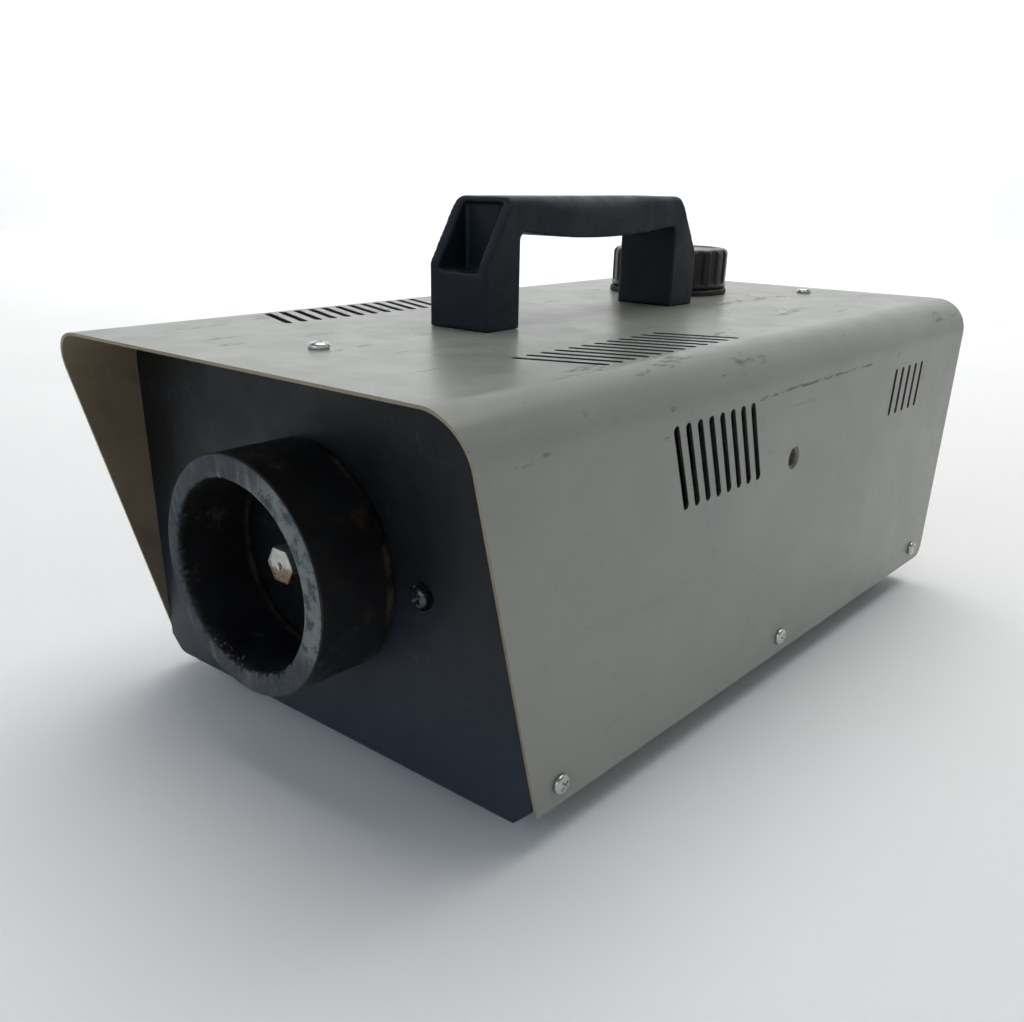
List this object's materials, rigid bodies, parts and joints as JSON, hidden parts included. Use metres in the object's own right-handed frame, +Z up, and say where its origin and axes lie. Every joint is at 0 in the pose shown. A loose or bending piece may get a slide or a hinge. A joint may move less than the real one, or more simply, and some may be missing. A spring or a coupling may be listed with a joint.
{
  "type": "fog machine",
  "caption": "Portable fog machine: vented sheet hood over a folded chassis, shrouded nozzle, carrying handle, screw-capped fluid tank, heater, pump and rear controls.",
  "frame": {"origin": "under the middle of the case, on the surface that the feet stand on", "axes": "+Z up; the nozzle faces -Y and the rear panel +Y; +X is the side with the mains inlet"},
  "size_m": [0.2412, 0.428, 0.2231],
  "materials": {
    "silver_paint": "satin",
    "black_paint": "satin",
    "shroud_plastic": "matte",
    "handle_plastic": "matte",
    "cap_plastic": "matte",
    "black_plastic": "satin",
    "red_plastic": "gloss",
    "tank_plastic": "translucent white",
    "clear_plastic": "clear",
    "natural_plastic": "natural",
    "zinc_steel": "zinc plated",
    "black_steel": "black zinc",
    "nozzle_metal": "heat tinted",
    "brass": "turned",
    "cast_aluminium": "as cast",
    "rubber": "matte",
    "wool": "mineral wool",
    "board_green": "lacquered",
    "relay_blue": "satin",
    "copper_core": "lacquered",
    "wire_sleeve": "satin",
    "glass_fuse": "clear",
    "label_foil": "matte foil"
  },
  "bodies": {
    "machine": {"cover": "silver_paint", "chassis": "black_paint", "nozzle_shroud": "shroud_plastic", "nozzle": "nozzle_metal", "bracket_screws": "black_steel", "cover_side_screws": "zinc_steel", "cover_top_screws": "zinc_steel", "yoke_nuts": "zinc_steel", "handle": "handle_plastic", "handle_screws": "zinc_steel", "neck_grommet": "rubber", "rear_panel": "black_paint", "rear_panel_screws": "black_steel", "shroud_screws": "zinc_steel", "heater_block_lower": "cast_aluminium", "heater_block_upper": "cast_aluminium", "heating_element": "zinc_steel", "vapour_coil": "brass", "heater_bolts": "zinc_steel", "heater_insulation": "wool", "heater_housing": "zinc_steel", "heater_front_brackets": "zinc_steel", "heater_rear_bracket": "zinc_steel", "thermostat": "natural_plastic", "thermal_cutout": "natural_plastic", "pump_bracket": "zinc_steel", "pump_mounts": "rubber", "pump_coil": "black_plastic", "pump_body": "natural_plastic", "pump_outlet": "brass", "pump_spring": "zinc_steel", "tank": "tank_plastic", "tank_pad": "rubber", "tank_bracket": "zinc_steel", "pickup_tube": "natural_plastic", "intake_filter": "brass", "suction_hose": "natural_plastic", "pressure_tube": "natural_plastic", "control_board": "board_green", "board_relay": "relay_blue", "board_transformer": "copper_core", "terminal_block": "board_green", "board_standoffs": "brass", "wiring": "wire_sleeve", "earth_stud": "brass", "mains_inlet": "black_plastic", "inlet_screws": "black_steel", "fuse_holder": "black_plastic", "switch_housing": "black_plastic", "remote_socket": "black_plastic", "level_window": "clear_plastic", "rating_plate": "label_foil", "base_screws": "zinc_steel", "feet": "rubber"},
    "seal": {"cap_seal": "natural_plastic"},
    "cap": {"tank_cap": "cap_plastic"},
    "rocker": {"rocker": "red_plastic"},
    "fuse": {"fuse": "glass_fuse"},
    "fuse_cap": {"fuse_cap": "black_plastic"},
    "plunger": {"pump_plunger": "zinc_steel"}
  },
  "joints": [
    {"name": "cap_rise", "type": "slide", "parent": "machine", "child": "seal", "axis": [0, 0, 1], "range_m": [0, 0.0121]},
    {"name": "cap_turn", "type": "hinge", "parent": "seal", "child": "cap", "pos_m": [-0.03, 0.126, 0.18], "axis": [0, 0, 1], "range_deg": [0, 1080]},
    {"name": "rocker_tilt", "type": "hinge", "parent": "machine", "child": "rocker", "pos_m": [0.094, 0.202, 0.087], "axis": [1, 0, 0], "range_deg": [0, 22]},
    {"name": "fuse_draw", "type": "slide", "parent": "machine", "child": "fuse", "axis": [0, 1, 0], "range_m": [0, 0.0045]},
    {"name": "fuse_turn", "type": "hinge", "parent": "fuse", "child": "fuse_cap", "pos_m": [0.066, 0.206, 0.087], "axis": [0, 1, 0], "range_deg": [0, 1085]},
    {"name": "plunger_stroke", "type": "slide", "parent": "machine", "child": "plunger", "axis": [0, 0, 1], "range_m": [-0.0015, 0.0015], "stiffness_N_per_m": 2000, "deforming": ["pump_spring"]}
  ],
  "couplings": [
    {"joint": "cap_rise", "follows": "cap_turn", "m_per_rad": 0.00063662},
    {"joint": "fuse_turn", "follows": "fuse_draw", "rad_per_m": 4188.8}
  ]
}
